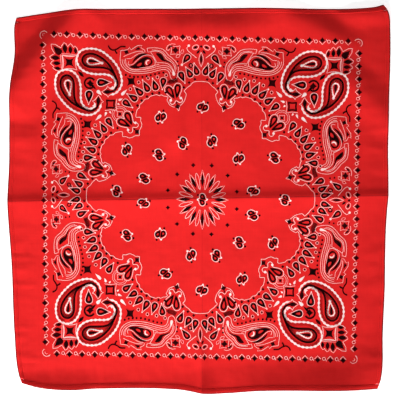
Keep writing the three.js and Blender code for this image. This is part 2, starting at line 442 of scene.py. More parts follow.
def make_panel():
    inset = PANEL_INSET / CLOTH_SIZE
    shares = np.linspace(inset, 1 - inset, STEPS + 1)
    v, u = np.meshgrid(shares, shares, indexing="ij")
    points = plan(u, v).reshape(-1, 2)
    count = STEPS + 1
    sheet = len(points)
    upper = grid_faces(count, count)
    lower = upper[:, ::-1] + sheet
    index = np.arange(sheet).reshape(count, count)
    around = np.concatenate([index[0, :-1], index[:-1, -1], index[-1, :0:-1], index[:0:-1, 0]])
    after = np.roll(around, -1)
    rim = np.column_stack([around + sheet, after + sheet, after, around])
    both = np.concatenate([in_frame(points, CLOTH_TOP), in_frame(points, RESTING_GAP)])
    faces = np.concatenate([upper, lower, rim]).tolist()
    return new_piece("printed_panel", both, faces, red_cotton, ["panel"])


panel = make_panel()
print(panel.name, len(panel.data.vertices), "points")

# %% [markdown]
# ## The hems
# Each edge is turned over twice and stitched, so it is a flat roll three layers thick with a
# round fold on the outside and a furrow where the stitches pull it down. One section is swept
# along each side. Its lip lies over the panel's edge, as the turned layer does.

# %% The hem's section
# Columns, in mm: the distance in from the outer fold, and the height above the underside.
HEM_SECTION = np.array([
    (5.5, 0.05), (1.1, 0.05), (0.4, 0.15), (0.05, 0.5), (0.0, 0.75), (0.3, 1.1), (1.1, 1.32),
    (1.7, 1.36), (3.0, 1.34), (4.4, 1.22), (5.1, 1.08), (5.5, 0.96), (5.9, 1.0), (6.5, 0.96),
    (7.1, 0.82), (7.3, 0.62), (6.4, 0.56), (5.6, 0.56),
])
# The rows of the section round the outer fold, which carry the painted shade.
SHADED_FOLD_ROWS = slice(2, 7)
HEM_STEP = 2.2


def side_place(side, share, inward):
    """u and v for a share along one side and a distance in mm in from its outer fold."""
    inward = inward / CLOTH_SIZE
    share, inward = np.broadcast_arrays(share, inward)
    return {
        "bottom": (share, inward),
        "top": (1 - share, 1 - inward),
        "left": (inward, 1 - share),
        "right": (1 - inward, share),
    }[side]


def sweep(section, side, shares):
    """Rings of section points along one side, with its two flat ends, as points and faces."""
    rings, sides = len(shares), len(section)
    u, v = side_place(side, shares[:, None], section[None, :, 0])
    heights = np.broadcast_to(section[None, :, 1], u.shape).ravel()
    points = in_frame(plan(u, v).reshape(-1, 2), heights)
    index = np.arange(rings * sides).reshape(rings, sides)
    a, b = index[:-1], index[1:]
    walls = np.stack([a, b, np.roll(b, -1, axis=1), np.roll(a, -1, axis=1)], axis=-1).reshape(-1, 4)
    ends = [index[0].tolist(), index[-1][::-1].tolist()]
    return points, walls.tolist() + ends


for side in ("top", "bottom", "left", "right"):
    start = 0.0 if side in ("top", "bottom") else (HEM_WIDTH + 1.0) / CLOTH_SIZE
    shares = np.linspace(start, 1 - start, int(CLOTH_SIZE / HEM_STEP))
    points, faces = sweep(HEM_SECTION, side, shares)
    hem = new_piece(f"rolled_hem_{side}", points, faces, red_cotton, [f"hem_{side}"])
    hem.data.materials.append(painted_shade_fold_cotton)
    # Painted shade: the faces round the outer fold take the second, darker material.
    around = np.arange(len(hem.data.polygons)) % len(HEM_SECTION)
    outer = (around >= SHADED_FOLD_ROWS.start) & (around < SHADED_FOLD_ROWS.stop)
    hem.data.polygons.foreach_set("material_index", outer.astype(np.int32))

# %% [markdown]
# ## The hem stitches
# One row of lockstitch holds each hem down, in a furrow 5.5 mm in from the fold. A machine makes
# all stitches one length, here 3 mm. Each stitch is a short round grain of thread, sunk at both
# ends where it goes through the cloth, and all of them are one mesh.

# %% Stitches
STITCH_PITCH = 3.0
STITCH_REACH = 1.15
THREAD_RADIUS = 0.2
STITCH_LINE = 5.5
STITCH_RINGS = ((-0.7, 1.0, 0.1), (0.0, 1.0, 0.22), (0.7, 1.0, 0.1))
STITCH_SIDES = 4


def stitch_row(side):
    """Points and faces of one hem's stitches."""
    length = CLOTH_SIZE - 2 * STITCH_LINE
    count = int(length / STITCH_PITCH)
    middles = (STITCH_LINE + (np.arange(count) + 0.5) * length / count) / CLOTH_SIZE
    turns = (np.arange(STITCH_SIDES) + 0.5) * 2 * math.pi / STITCH_SIDES
    along, inward, up = [-STITCH_REACH], [0.0], [-0.25]
    for place, swell, rise in STITCH_RINGS:
        for turn in turns:
            along.append(place * STITCH_REACH)
            inward.append(math.cos(turn) * THREAD_RADIUS * swell)
            up.append(math.sin(turn) * THREAD_RADIUS * swell + rise)
    along, inward, up = along + [STITCH_REACH], inward + [0.0], up + [-0.25]
    share = middles[:, None] + np.array(along) / CLOTH_SIZE
    u, v = side_place(side, share, STITCH_LINE + np.array(inward)[None, :])
    heights = np.broadcast_to(np.array(up) + 0.96, u.shape).ravel()
    points = in_frame(plan(u, v).reshape(-1, 2), heights)
    faces, size, last = [], len(along), len(along) - 1
    for start in range(0, count * size, size):
        for i in range(STITCH_SIDES):
            j = (i + 1) % STITCH_SIDES
            faces.append((start, start + 1 + j, start + 1 + i))
            faces.append((start + last, start + last - STITCH_SIDES + i, start + last - STITCH_SIDES + j))
            for ring in range(len(STITCH_RINGS) - 1):
                a = start + 1 + ring * STITCH_SIDES
                faces.append((a + i, a + j, a + j + STITCH_SIDES, a + i + STITCH_SIDES))
    return points, faces


# The first colour is the painted shade along the creases.
red_thread = woven_cotton("spun sewing thread", "#7A0A0E", "#9A0F14", "#A81217", "#B4151A", 0.05)
all_points, all_faces, count = [], [], 0
for side in ("top", "bottom", "left", "right"):
    points, faces = stitch_row(side)
    all_points.append(points)
    all_faces += [tuple(i + count for i in face) for face in faces]
    count += len(points)
stitches = new_piece("hem_stitches", np.concatenate(all_points), all_faces, red_thread, [])
print("stitches:", count // (2 + STITCH_SIDES * len(STITCH_RINGS)))

# %% [markdown]
# ## How the print lies on the cloth
# The cloth was printed flat, with a square border 448 mm wide and 456 mm high, and then cut,
# hemmed and folded. So the design below is drawn on a true rectangle, in mm from its middle,
# and one function carries it to the cloth: it follows the four corners where the border lies,
# and it draws together where a crease takes cloth up.

# %% From the design to the cloth
PRINT_X, PRINT_Y = 224.0, 228.0
# The border's corners on the cloth, in mm from the frame's middle.
BORDER_CORNERS = np.array([[(-219.7, -221.2), (222.2, -230.7)], [(-223.3, 235.9), (229.5, 224.8)]])
# In mm: how much cloth a crease takes up, and how far to each side the print draws together.
CREASE_TAKE_UP, CREASE_REACH = 2.3, 19.0
# The upright crease takes up cloth at its foot and at its head: how much, how far to each side,
# the level where that starts, and how fast it grows from there.
UPRIGHT_X = 4.0
FOOT_TAKE_UP, FOOT_REACH, FOOT_START, FOOT_FADE = 3.2, 7.0, -165.0, 60.0
HEAD_TAKE_UP, HEAD_REACH, HEAD_START, HEAD_FADE = 1.5, 19.0, 90.0, 100.0


def lay(design):
    """Design points, in mm, as plan points of the cloth."""
    across = (design[:, :1] / PRINT_X + 1) / 2
    up = (design[:, 1:] / PRINT_Y + 1) / 2
    low = BORDER_CORNERS[0, 0] * (1 - across) + BORDER_CORNERS[0, 1] * across
    high = BORDER_CORNERS[1, 0] * (1 - across) + BORDER_CORNERS[1, 1] * across
    x, y = (low * (1 - up) + high * up - SHIFT).T
    x1, y1, x2, y2 = FOLDS[0][:4]
    over = y - y1 - (x - x1) * (y2 - y1) / (x2 - x1)
    y = y + CREASE_TAKE_UP * (over / PRINT_Y - np.tanh(over / CREASE_REACH))
    beside = x - UPRIGHT_X
    foot = FOOT_TAKE_UP * ease((FOOT_START - y) / FOOT_FADE)
    head = HEAD_TAKE_UP * ease((y - HEAD_START) / HEAD_FADE)
    for take_up, reach in ((foot, FOOT_REACH), (head, HEAD_REACH)):
        x = x + take_up * (beside / PRINT_X - np.tanh(beside / reach))
    return np.column_stack([x, y])


# %% [markdown]
# ## Marks of ink
# A print is made of two kinds of mark: a stroke along a line, and a filled shape. Both are flat
# faces in the design's plane. A stroke is a strip of quads, so its width can swell and fade like
# a pen's. A motif is a list of marks, and can be turned, mirrored and stamped many times, as the
# engraver of a printing screen repeats one drawing.

# %% Lines and marks
# White ink draws in a little as it dries, and black ink spreads.
PEN = {"white": 0.42, "black": 1.25}


def curve(knots, closed=False, step=1.3):
    """A smooth line through given points."""
    knots = np.array(knots, float)
    first, last = 2 * knots[:1] - knots[1:2], 2 * knots[-1:] - knots[-2:-1]
    if closed:
        first, last = knots[-1:], knots[:2]
    spread = np.concatenate([first, knots, last])
    parts = []
    for a, b, c, d in zip(spread, spread[1:], spread[2:], spread[3:]):
        t = np.arange(0, 1, step / max(np.hypot(*(c - b)), step))[:, None]
        parts.append(b + 0.5 * t * (c - a + t * (2 * a - 5 * b + 4 * c - d + t * (3 * b - a - 3 * c + d))))
    return np.concatenate(parts if closed else parts + [knots[-1:]])


def stroke(ink, line, width, closed=False):
    """A line of ink. The width is one number, or one for each point."""
    line, width = np.asarray(line, float), np.asarray(width) * PEN[ink]
    count = len(line)
    index = np.arange(count)
    ahead = line[(index + 1) % count if closed else np.minimum(index + 1, count - 1)]
    behind = line[(index - 1) % count if closed else np.maximum(index - 1, 0)]
    run = (ahead - behind) / np.maximum(np.linalg.norm(ahead - behind, axis=1), 1e-6)[:, None]
    side = np.column_stack([-run[:, 1], run[:, 0]]) * (np.broadcast_to(width, count) / 2)[:, None]
    i = index if closed else index[:-1]
    j = (i + 1) % count
    return ink, np.concatenate([line + side, line - side]), np.column_stack([i + count, j + count, j, i])


def swelling(ink, knots, thin, thick):
    """A smooth line of ink that swells from thin ends to a thick middle."""
    line = curve(knots, step=0.7)
    middle = np.sin(np.linspace(0, math.pi, len(line)))
    return stroke(ink, line, thin + (thick - thin) * middle)


def blot(ink, outline, *holes):
    """A filled shape of ink."""
    loops = [np.asarray(loop, float) for loop in (outline, *holes)]
    points = [[(x, y, 0.0) for x, y in loop] for loop in loops]
    return ink, np.concatenate(loops), np.array(tessellate_polygon(points))


def oval(x, y, wide, high=None, turn=0.0):
    """An oval's outline. wide and high are half sizes, and turn is in degrees."""
    high = high or wide
    around = np.linspace(0, 2 * math.pi, max(8, int(4 * max(wide, high))), endpoint=False)
    return turned(np.column_stack([wide * np.cos(around), high * np.sin(around)]), turn) + (x, y)


def turned(points, degrees):
    """Points turned about the origin."""
    c, s = math.cos(math.radians(degrees)), math.sin(math.radians(degrees))
    return np.asarray(points, float) @ np.array([(c, s), (-s, c)])


def star(x, y, reach, turn=0.0, waist=0.3):
    """A four-pointed star with hollow sides."""
    points = []
    for quarter in range(4):
        tip, next_tip = turned([(reach, 0)], 90 * quarter)[0], turned([(reach, 0)], 90 * quarter + 90)[0]
        hollow = turned([(reach * waist, 0)], 90 * quarter + 45)[0]
        t = np.linspace(0, 1, 6, endpoint=False)[:, None]
        points.append(tip * (1 - t) ** 2 + 2 * hollow * t * (1 - t) + next_tip * t ** 2)
    return turned(np.concatenate(points), turn) + (x, y)


def drop(tail, head, radius):
    """A teardrop's outline, from the tip of its tail to a round head of a radius."""
    tail, head = np.array(tail, float), np.array(head, float)
    axis = head - tail
    length = np.hypot(*axis) + radius
    axis = axis / np.hypot(*axis)
    share = np.sin(np.linspace(0, math.pi / 2, 15))
    half = 2.2 * radius * share ** 1.3 * np.sqrt(1 - share ** 2)
    middle = tail + np.outer(share * length, axis)
    side = np.outer(half, (-axis[1], axis[0]))
    return np.concatenate([middle + side, (middle - side)[-2:0:-1]])


def leaf(start, end, width):
    """A leaf's outline, pointed at both ends."""
    start, end = np.array(start, float), np.array(end, float)
    share = np.linspace(0, 1, 13)
    middle = start + np.outer(share, end - start)
    normal = np.array([start[1] - end[1], end[0] - start[0]]) / np.hypot(*(end - start))
    side = np.outer(width / 2 * np.sin(math.pi * share), normal)
    return np.concatenate([middle + side, (middle - side)[-2:0:-1]])


def moved(marks, x=0.0, y=0.0, turn=0.0, wide=1.0, high=1.0):
    """A copy of a motif: stretched or mirrored, then turned, then moved."""
    return [(ink, turned(points * (wide, high), turn) + (x, y), faces) for ink, points, faces in marks]


def in_quarters(marks):
    """A motif and its mirror images across the two middle lines of the cloth."""
    return [mark for wide in (1, -1) for high in (1, -1) for mark in moved(marks, wide=wide, high=high)]


def from_corner(marks):
    """A motif drawn in mm right of and down from the border's top left corner, in the design."""
    return moved(marks, -PRINT_X, PRINT_Y, high=-1)


def across_diagonal(marks):
    """A motif drawn from the corner, and its mirror image across the corner's diagonal."""
    return marks + [(ink, points[:, ::-1], faces) for ink, points, faces in marks]


def in_eighths(marks):
    """A motif drawn left of the top middle, mirrored across the diagonal and then in quarters."""
    squeeze = PRINT_X / PRINT_Y
    mirrored = [(ink, points[:, ::-1] * (-squeeze, -1), faces) for ink, points, faces in marks]
    return in_quarters(marks + mirrored)


printed = []

# %% [markdown]
# ## The border
# A narrow chain frames the print: a black lozenge over a white chevron, then a small white ring,
# 24 times a side, with a curled white crescent at each corner.

# %% Border
LOZENGES = 24
LOZENGE_START = 15.0


def border_link(pitch):
    """One lozenge with its chevron, and the ring half a pitch further on. Up is outwards."""
    ring = pitch / 2
    return [
        blot("black", star(0, 2.0, 4.2, waist=0.52)),
        stroke("white", [(-4.4, 0.6), (-2.3, -1.6), (0, -3.9), (2.3, -1.6), (4.4, 0.6)], 1.35),
        stroke("white", oval(ring, 0.2, 2.1, 2.3), 1.15, closed=True),
        stroke("white", [(ring - 2.2, 0.6), (ring - 3.2, 2.6), (ring - 3.6, 3.7)], [1.4, 1.2, 0.7]),
        blot("black", oval(ring + 0.2, 0.1, 0.6)),
    ]


corner_curl = [
    stroke("white", curve([(5.0, 3.2), (1.5, 5.4), (-3.2, 4.2), (-5.2, 0.2), (-4.4, -3.6), (-2.6, -5.4)]),
           1.5),
    stroke("white", curve([(1.6, 1.8), (-0.6, 2.0), (-1.8, 0.2), (-0.8, -1.6)]), 0.8),
]
for half_length, half_width, turn in (
    (PRINT_X, PRINT_Y, 0), (PRINT_Y, PRINT_X, 90), (PRINT_X, PRINT_Y, 180), (PRINT_Y, PRINT_X, 270)
):
    pitch = (2 * half_length - 2 * LOZENGE_START) / (LOZENGES - 1)
    link = border_link(pitch)
    for i in range(LOZENGES):
        place = -half_length + LOZENGE_START + i * pitch
        marks = link if i < LOZENGES - 1 else link[:2]
        printed += moved(moved(marks, place, half_width), turn=turn)
    printed += moved(moved(corner_curl, -half_length, half_width), turn=turn)
print("border:", 4 * LOZENGES, "lozenges")

# %% [markdown]
# ## The sunburst
# Twelve slim petals with a black heart and twelve red ones alternate round a small double drop.
# The flower is a little taller than wide, as it lies.

# %% Sunburst
SUNBURST_PLACE = (2.6, -3.2)


def double_drop():
    """Two opposed drops in one white outline with two ears, and a black dot by each ear."""
    half = [(-0.9, 9.0), (0.9, 7.2), (1.8, 5.0), (4.4, 6.2), (7.6, 5.2), (9.0, 1.6), (8.2, -2.6),
            (5.2, -5.2), (2.6, -6.2)]
    marks = [
        stroke("white", curve(half + [(-x, -y) for x, y in half], closed=True), 2.1, closed=True),
    ]
    for way in (1, -1):
        marks += moved([
            stroke("black", drop((1.0, -4.2), (4.4, 0.8), 2.8), 2.0, closed=True),
            blot("white", oval(0.8, -8.4, 1.5)),
            blot("black", oval(6.0, 8.8, 1.7)),
        ], wide=way, high=way)
    return marks


def sunburst():
    marks = []
    dark_petal = [
        blot("black", leaf((0, 20.5), (0, 39.5), 5.2)),
        stroke("white", [(-3.1, 30.5), (-2.9, 34), (-1.9, 39), (0, 44.6), (1.9, 39), (2.9, 34),
                         (3.1, 30.5)], 1.3),
    ]
    half = [(0.8, 17.5), (1.8, 23.5), (2.7, 30), (2.5, 36)]
    other_half = [(-x, y) for x, y in half[::-1]]
    red_petal = [
        stroke("white", curve([(0, 16.5)] + half + [(0, 41.2)] + other_half, closed=True),
               1.4, closed=True),
    ]
    for k in range(12):
        marks += moved(dark_petal, turn=30 * k) + moved(red_petal, turn=30 * k + 15)
    marks = moved(marks, wide=0.84)
    return marks + moved(double_drop(), turn=84, wide=1.1, high=0.8)


printed += moved(sunburst(), *SUNBURST_PLACE)
for k in range(12):
    x, y = turned([(0, 53)], 15 + 30 * k)[0]
    printed += moved([blot("black", star(x * 0.97, y, 3.4, waist=0.5))], *SUNBURST_PLACE)

# %% [markdown]
# ## Scattered drops
# Two rings of double drops float in the open field round the sunburst. Each is turned by the
# same angle from the line to the middle. The gaps are uneven, as they are on the cloth.

# %% Two rings of double drops
# Degrees round from the right-hand side, and mm out from the sunburst's middle.
INNER_RING = [(12, 75), (50, 81), (81, 87), (109, 87), (134, 90), (160, 89), (185, 85), (221, 80),
              (259, 83), (284, 84), (311, 82), (343, 76)]
OUTER_RING = [(1, 119), (32, 122), (65, 123), (90, 134), (117, 133), (147, 130), (175, 124), (207, 122),
              (244, 121), (270, 131), (297, 128), (329, 120)]
for ring, lean in ((INNER_RING, -40), (OUTER_RING, 75)):
    for angle, reach in ring:
        x, y = turned([(reach, 0)], angle)[0] + SUNBURST_PLACE
        printed += moved(double_drop(), x, y, angle + lean, 0.94, 0.94)
print("scattered:", len(INNER_RING) + len(OUTER_RING), "double drops")

# %% [markdown]
# ## The wreath
# A wavy white line with twelve lobes closes the field. Between the lobes sit twelve tulips of
# two drops each, and over every lobe stand six seeds. The wreath is drawn from the top middle to
# the diagonal, left of the middle, and that eighth is mirrored all round.

# %% Tulips
def seed(tail, head, radius, line=1.2, blob=1.0, ring=2.0):
    """A seed: a white outline, a black ring that leaves a red heart, and a blob at the tail."""
    tail, head = np.array(tail, float), np.array(head, float)
    toward = (head - tail) / np.hypot(*(head - tail))
    inner_tail = tail + toward * 0.36 * np.hypot(*(head - tail))
    return [
        stroke("white", drop(tail, head, radius), line, closed=True),
        stroke("black", drop(inner_tail, head, radius - 2.1), ring, closed=True),
        blot("white", oval(*(tail + toward * 0.8), blob)),
    ]


def tulip():
    """A tulip whose star is at the origin and whose drops point outwards, up."""
    side = [
        stroke("black", drop((2.0, 12.8), (6.4, 26.2), 3.2), 2.0, closed=True),
        stroke("white", curve([(0, 25.6), (2.2, 29.8), (6.6, 32.6), (11.2, 30.6), (12.6, 26), (10.6, 20.6),
                               (7.2, 15.6), (5.6, 12.8)]), 1.7),
        stroke("white", curve([(5.6, 12.8), (7.2, 11.4), (9.2, 8.6), (7.8, 5.2), (4.2, 4.9), (2.0, 7.0),
                               (0.3, 8.8)]), 1.7),
        blot("white", oval(7.4, 10.8, 1.9)),
    ]
    star_marks = [
        blot("black", star(0, 0, 4.4, waist=0.5)),
        blot("black", oval(0, 5.2, 1.1, 1.5)),
    ]
    return star_marks + side + moved(side, wide=-1)


TULIP_PLACE, TULIP_TURN = (-33.9, 130.8), 14.5
CORNER_TULIP_PLACE = (-91.5, 93.5)
printed += in_eighths(moved(tulip(), *TULIP_PLACE, TULIP_TURN))
printed += in_quarters(moved(tulip(), *CORNER_TULIP_PLACE, 45))

# %% Wavy line, seeds and dots
# In mm from the middle of the print. The wavy line runs from the crown of the top lobe, under the
# first tulip's star, over the next lobe and down to the tip under the corner tulip's star.
WAVY_EIGHTH = [
    (0, 167.4), (-5.5, 167.2), (-11.5, 166.2), (-13.8, 163.9), (-16.4, 161.2), (-20.2, 158.6),
    (-23.0, 155.4), (-25.0, 153.2), (-21.9, 149.4), (-22.6, 144.2), (-24.6, 138.8), (-28.4, 133.8),
    (-30.8, 131.2),
    (-32.0, 125.0), (-35.6, 129.2), (-40.0, 130.2), (-45.2, 132.9), (-47.6, 137.0), (-49.2, 140.4),
    (-47.6, 142.8), (-49.7, 144.9), (-53.4, 145.3), (-57.6, 147.0), (-60.4, 145.7), (-64.2, 147.2),
    (-68.4, 146.0), (-73.3, 144.5), (-75.9, 141.2), (-80.7, 140.2), (-84.4, 135.4), (-87.7, 132.9),
    (-88.6, 128.0), (-91.6, 124.8), (-93.4, 116.8), (-92.4, 114.2), (-86.6, 114.2), (-86.4, 109.3),
    (-84.6, 104.4), (-86.0, 99.4), (-88.0, 95.6), (-88.2, 90.0),
]
# Each row is the tip of a seed's tail and the middle of its head.
SEEDS = [
    ((-10.9, 194.0), (-6.7, 180.8)), ((-23.4, 188.0), (-16.5, 177.0)), ((-23.6, 163.8), (-29.6, 176.4)),
    ((-56.2, 153.8), (-54.8, 167.0)), ((-70.4, 171.0), (-65.8, 157.6)), ((-84.8, 168.2), (-77.4, 155.0)),
    ((-97.6, 159.4), (-87.3, 149.2)), ((-107.0, 147.6), (-95.6, 141.0)), ((-97.6, 127.4), (-108.2, 134.8)),
]
DOTS = [(-9.3, 170.4), (-17.8, 165.4), (-25.4, 158.4), (-51.0, 150.4), (-60.5, 149.8), (-70.2, 148.4),
        (-77.8, 144.1), (-85.4, 138.3), (-91.2, 131.0), (-98.2, 121.6)]
RINGS = [(-13.4, 190.0), (-50.9, 175.1), (-63.3, 172.0), (-76.6, 170.2), (-89.8, 164.0), (-101.6, 154.2)]

squeeze = PRINT_X / PRINT_Y
quarter_line = WAVY_EIGHTH + [(-y * squeeze, -x) for x, y in WAVY_EIGHTH[::-1]]
printed += in_quarters([stroke("white", curve(quarter_line, step=1.6), 1.4)])
eighth = []
for tail, head in SEEDS:
    eighth += seed(tail, head, 5.0)
for x, y in DOTS:
    eighth.append(blot("black", star(x, y, 2.4, waist=0.5)))
for x, y in RINGS:
    eighth += [stroke("white", oval(x, y, 2.1, 2.4), 0.9, closed=True), blot("black", oval(x, y, 1.2))]
printed += in_eighths(eighth)
print("wreath:", len(SEEDS) * 8, "seeds")

# %% [markdown]
# ## Fine hatching
# Some parts look dark red. They are engraved with fine black lines, close together. Real ones
# are a third of a millimetre wide, and these are drawn a little coarser.

# %% Patches behind the tulips
def comb(line, start, depth, pitch, width):
    """Short fine strokes beside a line, on its left, at a pitch along it."""
    line = np.asarray(line, float)
    along = np.concatenate([[0], np.cumsum(np.hypot(*np.diff(line, axis=0).T))])
    ahead = np.gradient(line, axis=0)
    marks = []
    for place in np.arange(pitch / 2, along[-1], pitch):
        x, y, run_x, run_y = (np.interp(place, along, part) for part in (*line.T, *ahead.T))
        left = np.array([-run_y, run_x]) / math.hypot(run_x, run_y)
        marks.append(stroke("black", [left * start + (x, y), left * depth + (x, y)], width))
    return marks


patch = comb([(-4, 33.6), (2, 33.0), (9, 34.4)], 0.0, 6.2, 1.5, 0.8)
patch += comb([(-6, 35.2), (-3, 35.0)], 0.0, 3.0, 1.4, 0.9)
printed += in_eighths(moved(patch, *TULIP_PLACE, TULIP_TURN))
arc = np.radians(np.linspace(-20, 200, 24))
arc = np.column_stack([np.cos(arc), np.sin(arc)])
corner_patch = [
    blot("black", oval(0, 35.0, 2.0)),
    stroke("white", star(0, 35.0, 5.8, waist=0.5), 0.9, closed=True),
    stroke("white", arc * 8.6 + (0, 35.0), 0.9),
    stroke("white", arc * 11.0 + (0, 35.0), 0.8),
]
printed += in_quarters(moved(corner_patch, *CORNER_TULIP_PLACE, 45))

# %% [markdown]
# ## The corners
# Each corner is one drawing, mirrored about its diagonal: a crown of five black petals on each
# side of a big one, a star tile, two big paisleys back to back, and small things between them.
# It is drawn in mm right of and down from the border's corner, and stamped in all four.

# %% Corner crown and star tile
crown_side = [
    blot("black", leaf((33.2, 14.6), (34.2, 27.0), 6.2)),
    blot("black", leaf((41.0, 16.8), (41.2, 27.6), 5.4)),
    blot("black", leaf((47.4, 19.0), (48.6, 27.6), 4.4)),
    stroke("white", [(15.0, 15.0), (20.6, 15.4), (28.2, 19.8), (29.6, 16.6), (32.4, 12.6), (35.4, 14.2),
                     (37.6, 18.4), (39.2, 15.4), (41.6, 13.8), (44.2, 16.6), (45.0, 18.6), (47.6, 16.8),
                     (50.2, 20.0), (52.0, 25.6), (51.0, 29.6), (46.0, 30.4), (38.0, 30.2), (29.6, 29.6)],
           1.4),
]
crown = [
    blot("black", drop((17.4, 17.4), (25.0, 25.0), 4.6)),
    blot("black", star(39.4, 39.4, 10.4, 45, waist=0.04)),
    stroke("white", star(39.6, 39.6, 14.2, 45, waist=0.44), 1.5, closed=True),
    stroke("white", [(28.6, 48.6), (28.0, 39.8), (27.4, 27.4), (39.8, 28.0), (48.6, 28.6)], 0.9),
]
corner = crown + across_diagonal(crown_side)

# %% Big paisley
# The outline is listed: the back of the paisley out to its tail, then the belly.
PAISLEY_BACK = [(49.2, 35.9), (51.2, 28.0), (55.6, 22.8), (62.4, 20.2), (70.2, 19.6), (77.6, 20.6),
                (84.2, 23.2), (90.2, 27.3), (96.2, 32.4), (102.0, 38.6), (106.6, 45.6), (110.0, 53.6),
                (111.8, 61.8), (111.6, 69.4), (108.6, 76.0), (103.0, 81.4), (96.6, 83.4)]
PAISLEY_BELLY = [(49.2, 35.9), (51.4, 43.0), (56.4, 48.9), (63.4, 52.8), (71.0, 54.6), (79.0, 55.2),
                 (86.6, 55.0), (93.4, 56.0), (98.8, 58.8), (102.2, 63.4), (103.0, 69.0), (100.4, 74.0),
                 (96.0, 75.2)]
PAISLEY_CONTOUR = [(104.4, 61.0), (100.4, 53.4), (94.6, 48.6), (87.0, 46.2), (77.0, 45.6), (68.0, 45.4),
                   (61.4, 43.2), (57.6, 38.4), (57.6, 33.2), (61.2, 28.8), (67.6, 26.8), (75.0, 27.8),
                   (82.4, 31.4), (89.2, 36.6), (95.2, 43.0), (99.6, 50.6), (103.2, 58.2), (106.0, 66.0),
                   (105.2, 72.4), (101.6, 77.4), (96.6, 79.4)]


def beaded(line, bead, gap, pitch=6.0):
    """Widths that swell and shrink along a line, like a row of beads."""
    steps = np.hypot(*np.diff(line, axis=0).T)
    along = np.concatenate([[0], np.cumsum(steps)])
    return (bead + gap) / 2 + (bead - gap) / 2 * np.cos(2 * math.pi * along / pitch)


back, belly = curve(PAISLEY_BACK, step=0.7), curve(PAISLEY_BELLY, step=0.7)
contour = curve(PAISLEY_CONTOUR)
inner = curve(drop((84.6, 39.6), (68.6, 37.2), 4.6), closed=True, step=0.7)
paisley = [
    stroke("white", back, beaded(back, 7.9, 3.7)),
    stroke("white", belly, beaded(belly, 7.9, 3.7)),
    stroke("black", contour, 2.2),
    stroke("white", inner, beaded(inner, 5.0, 3.0, 3.6), closed=True),
    blot("white", oval(84.4, 39.5, 2.0)),
    blot("black", drop((80.6, 38.0), (67.4, 36.9), 2.0)),
    blot("black", leaf((86.2, 79.6), (98.4, 79.4), 5.6)),
    stroke("white", [(96.0, 75.2), (94.0, 73.4), (92.4, 71.2), (91.0, 74.6), (87.4, 77.4), (84.0, 79.6),
                     (88.0, 82.6), (91.4, 84.0), (93.2, 87.0), (94.6, 84.2), (96.6, 83.4)], 1.5),
    stroke("white", curve([(99.6, 71.6), (98.0, 73.8), (95.4, 74.6)]), 3.4),
]
paisley += comb(back[6:-22], 2.0, 5.0, 1.1, 0.3) + comb(belly[6:-30][::-1], 2.0, 5.0, 1.1, 0.3)
paisley += comb(contour[8:-16], 0.8, 4.4, 1.1, 0.3)
corner += across_diagonal(paisley)

# %% Small things between the paisleys
curl_line = turned(oval(0, 0, 7.2)[:22], 58) + (67.6, 67.6)
between = [
    blot("black", leaf((51.4, 51.4), (59.4, 59.4), 4.2)),
    stroke("black", curl_line, 2.0),
    blot("black", star(68.0, 68.0, 5.6, waist=0.4)),
    blot("black", leaf((66.0, 66.0), (76.6, 76.6), 3.4)),
    stroke("black", star(96.6, 96.6, 8.0, 45, waist=0.48), 1.8, closed=True),
    stroke("white", [(105.4, 89.0), (104.2, 97.4), (105.6, 105.6), (97.4, 104.2), (89.0, 105.4)], 1.4),
    blot("white", drop((84.4, 84.4), (79.4, 79.4), 2.4)),
]
beside = [
    *seed((98.0, 66.0), (82.8, 66.6), 5.4, line=1.5, blob=0.8, ring=2.4),
    blot("white", drop((119.6, 75.4), (113.0, 82.2), 2.0)),
    blot("white", drop((113.6, 88.6), (109.0, 90.4), 1.5)),
    blot("white", drop((109.6, 97.6), (107.4, 96.0), 1.2)),
    blot("black", star(125.0, 64.4, 8.8, 41, waist=0.2)),
    stroke("black", curve([(93.0, 15.0), (95.4, 19.4), (100.0, 21.4), (105.4, 19.6), (110.2, 16.6),
                           (117.0, 16.4)]),
           1.5),
    stroke("black", curve([(102.4, 20.8), (103.6, 24.0), (105.4, 26.2)]), 1.7),
]
corner += between + across_diagonal(beside)

# %% [markdown]
# ## Bird's-eye paisleys
# Along each side, a long paisley lies on either side of the middle. It is built of close white
# contour lines that follow each other, round a black eye and a black flame.

# %% Bird's-eye paisley
def echoes(line, gaps, width, start=0.0, end=1.0):
    """Thin white lines that run beside a line at several distances, to its right."""
    line = np.asarray(line, float)
    ahead = np.gradient(line, axis=0)
    ahead /= np.hypot(*ahead.T)[:, None]
    right = np.column_stack([ahead[:, 1], -ahead[:, 0]])
    part = slice(int(start * len(line)), int(end * len(line)))
    return [stroke("white", (line + right * gap)[part], width) for gap in gaps]


